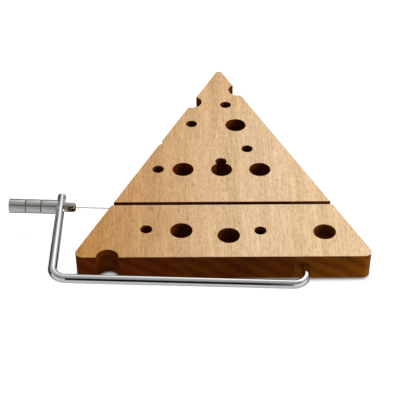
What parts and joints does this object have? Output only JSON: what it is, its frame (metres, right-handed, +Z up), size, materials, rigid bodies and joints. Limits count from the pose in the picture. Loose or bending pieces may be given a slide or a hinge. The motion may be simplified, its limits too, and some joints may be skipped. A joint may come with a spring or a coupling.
{
  "type": "cheese wire cutter",
  "caption": "Wedge-shaped wooden cheese board with drilled holes and a saw groove, and a hinged steel bow whose turning handle tightens the cutting wire that swings down into the groove.",
  "frame": {"origin": "middle of the whole cutter's footprint at rest, on the surface that it stands on", "axes": "+X along the board's front edge towards the pivot side, +Y from the front edge towards the point of the wedge, +Z up"},
  "size_m": [0.3186, 0.3082, 0.0322],
  "materials": {
    "board_wood": "light tan hardwood, fine straight grain, thin oil finish, darker brown end grain on the front edge",
    "foot_rubber": "matt black rubber",
    "rod_chrome": "bright polished plating",
    "wire_steel": "bright drawn stainless wire",
    "nipple_brass": "plain turned brass",
    "ferrule_chrome": "polished, reflects the board",
    "stud_steel": "plain steel thread",
    "handle_metal": "satin turned metal"
  },
  "bodies": {
    "board": {"stave_left": "board_wood", "stave_middle": "board_wood", "stave_right": "board_wood", "foot_front_left": "foot_rubber", "foot_front_right": "foot_rubber", "foot_back_left": "foot_rubber", "foot_back_right": "foot_rubber"},
    "bow": {"bow_rod": "rod_chrome", "cutting_wire": "wire_steel", "pivot_nipple": "nipple_brass", "ferrule_nipple": "nipple_brass"},
    "tensioner": {"ferrule": "ferrule_chrome", "stud": "stud_steel"},
    "handle": {"handle": "handle_metal"}
  },
  "joints": [
    {"name": "bow_pivot", "type": "hinge", "parent": "board", "child": "bow", "pos_m": [0.10283, -0.12873, 0.0147], "axis": [0, 1, 0], "range_deg": [0, 177]},
    {"name": "handle_turn", "type": "hinge", "parent": "bow", "child": "handle", "pos_m": [-0.11298, -0.05783, 0.0239], "axis": [-0.9991, 0, 0.0426], "range_deg": [0, 1080]},
    {"name": "stud_slide", "type": "slide", "parent": "bow", "child": "tensioner", "axis": [0.9991, 0, -0.0426], "range_m": [0, 0.0022]}
  ],
  "couplings": [
    {"joint": "stud_slide", "follows": "handle_turn", "m_per_rad": 0.00011141}
  ]
}
